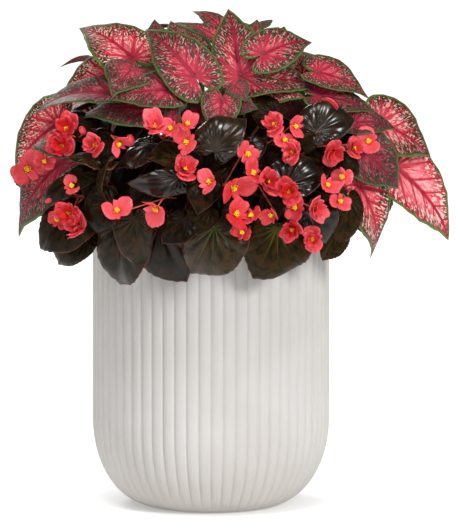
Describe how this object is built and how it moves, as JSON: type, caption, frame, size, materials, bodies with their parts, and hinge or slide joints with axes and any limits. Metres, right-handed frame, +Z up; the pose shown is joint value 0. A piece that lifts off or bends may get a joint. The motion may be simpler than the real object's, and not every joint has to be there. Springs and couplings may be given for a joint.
{
  "type": "potted begonia",
  "caption": "Tall ribbed planter with a mound of bronze-leaved begonias in red flower, backed and topped by heart-shaped pink and green caladium leaves.",
  "frame": {"origin": "middle of the planter's flat underside", "axes": "+Z up along the planter's axis, -Y towards the side that the picture shows, +X to its right"},
  "size_m": [0.7463, 0.6913, 0.8595],
  "materials": {
    "pot": "matte",
    "soil": "matte",
    "begonia_leaf": "gloss",
    "flower": "satin",
    "caladium_leaf": "satin"
  },
  "bodies": {
    "root": {"planter": "pot", "potting_soil": "soil", "begonia_bloom_1": "flower", "begonia_bloom_2": "flower", "begonia_bloom_3": "flower", "begonia_bloom_4": "flower", "begonia_bloom_5": "flower", "begonia_bloom_6": "flower", "begonia_bloom_7": "flower", "begonia_bloom_8": "flower", "begonia_bloom_9": "flower", "begonia_bloom_10": "flower", "begonia_bloom_11": "flower", "begonia_bloom_12": "flower", "begonia_bloom_13": "flower", "begonia_bloom_14": "flower", "begonia_bloom_15": "flower", "begonia_bloom_16": "flower", "begonia_bloom_17": "flower", "begonia_bloom_18": "flower", "begonia_bloom_19": "flower", "begonia_1": "begonia_leaf", "begonia_2": "begonia_leaf", "begonia_3": "begonia_leaf", "begonia_4": "begonia_leaf", "begonia_5": "begonia_leaf", "begonia_6": "begonia_leaf", "begonia_7": "begonia_leaf", "begonia_8": "begonia_leaf", "begonia_9": "begonia_leaf", "begonia_10": "begonia_leaf", "begonia_11": "begonia_leaf", "begonia_12": "begonia_leaf", "caladium_1": "caladium_leaf", "caladium_2": "caladium_leaf", "caladium_3": "caladium_leaf", "caladium_4": "caladium_leaf", "caladium_5": "caladium_leaf"}
  },
  "joints": []
}
